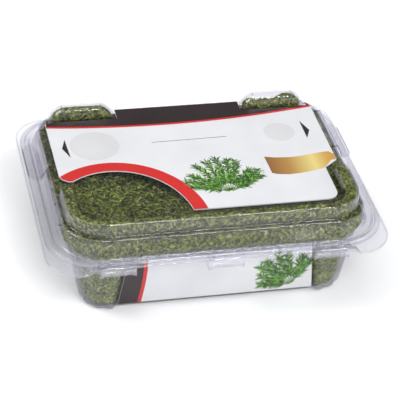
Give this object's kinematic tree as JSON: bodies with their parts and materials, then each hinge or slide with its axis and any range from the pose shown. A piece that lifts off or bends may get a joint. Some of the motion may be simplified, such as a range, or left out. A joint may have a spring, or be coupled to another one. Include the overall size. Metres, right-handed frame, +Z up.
{
  "type": "clear hinged clamshell box of dried dill weed",
  "caption": "Clear thermoformed clamshell box with a hinged lid, stacking rim and lugs, packed full of dried, chopped dill weed, with plain coloured labels and film seals.",
  "frame": {"origin": "middle of the base, on the surface that the box stands on", "axes": "+Z up, long side along X, hinge side towards -Y"},
  "size_m": [0.1, 0.08, 0.0302],
  "materials": {
    "clear_sheet": "gloss, clear thermoformed PET",
    "clear_seal": "gloss, clear film",
    "printed_label": "satin printed film",
    "dried_leaf": "matt, dried and chopped leaf"
  },
  "bodies": {
    "tub": {"tub_shell": "clear_sheet", "hinge_strap_left": "clear_sheet", "hinge_strap_middle": "clear_sheet", "hinge_strap_right": "clear_sheet", "label_front": "printed_label", "dill_weed": "dried_leaf"},
    "lid": {"lid_shell": "clear_sheet", "label_top": "printed_label", "seal_left": "clear_seal", "seal_right": "clear_seal"}
  },
  "joints": [
    {"name": "lid_hinge", "type": "hinge", "parent": "tub", "child": "lid", "pos_m": [0, -0.0387, 0.02015], "axis": [1, 0, 0], "range_deg": [0, 180]}
  ]
}
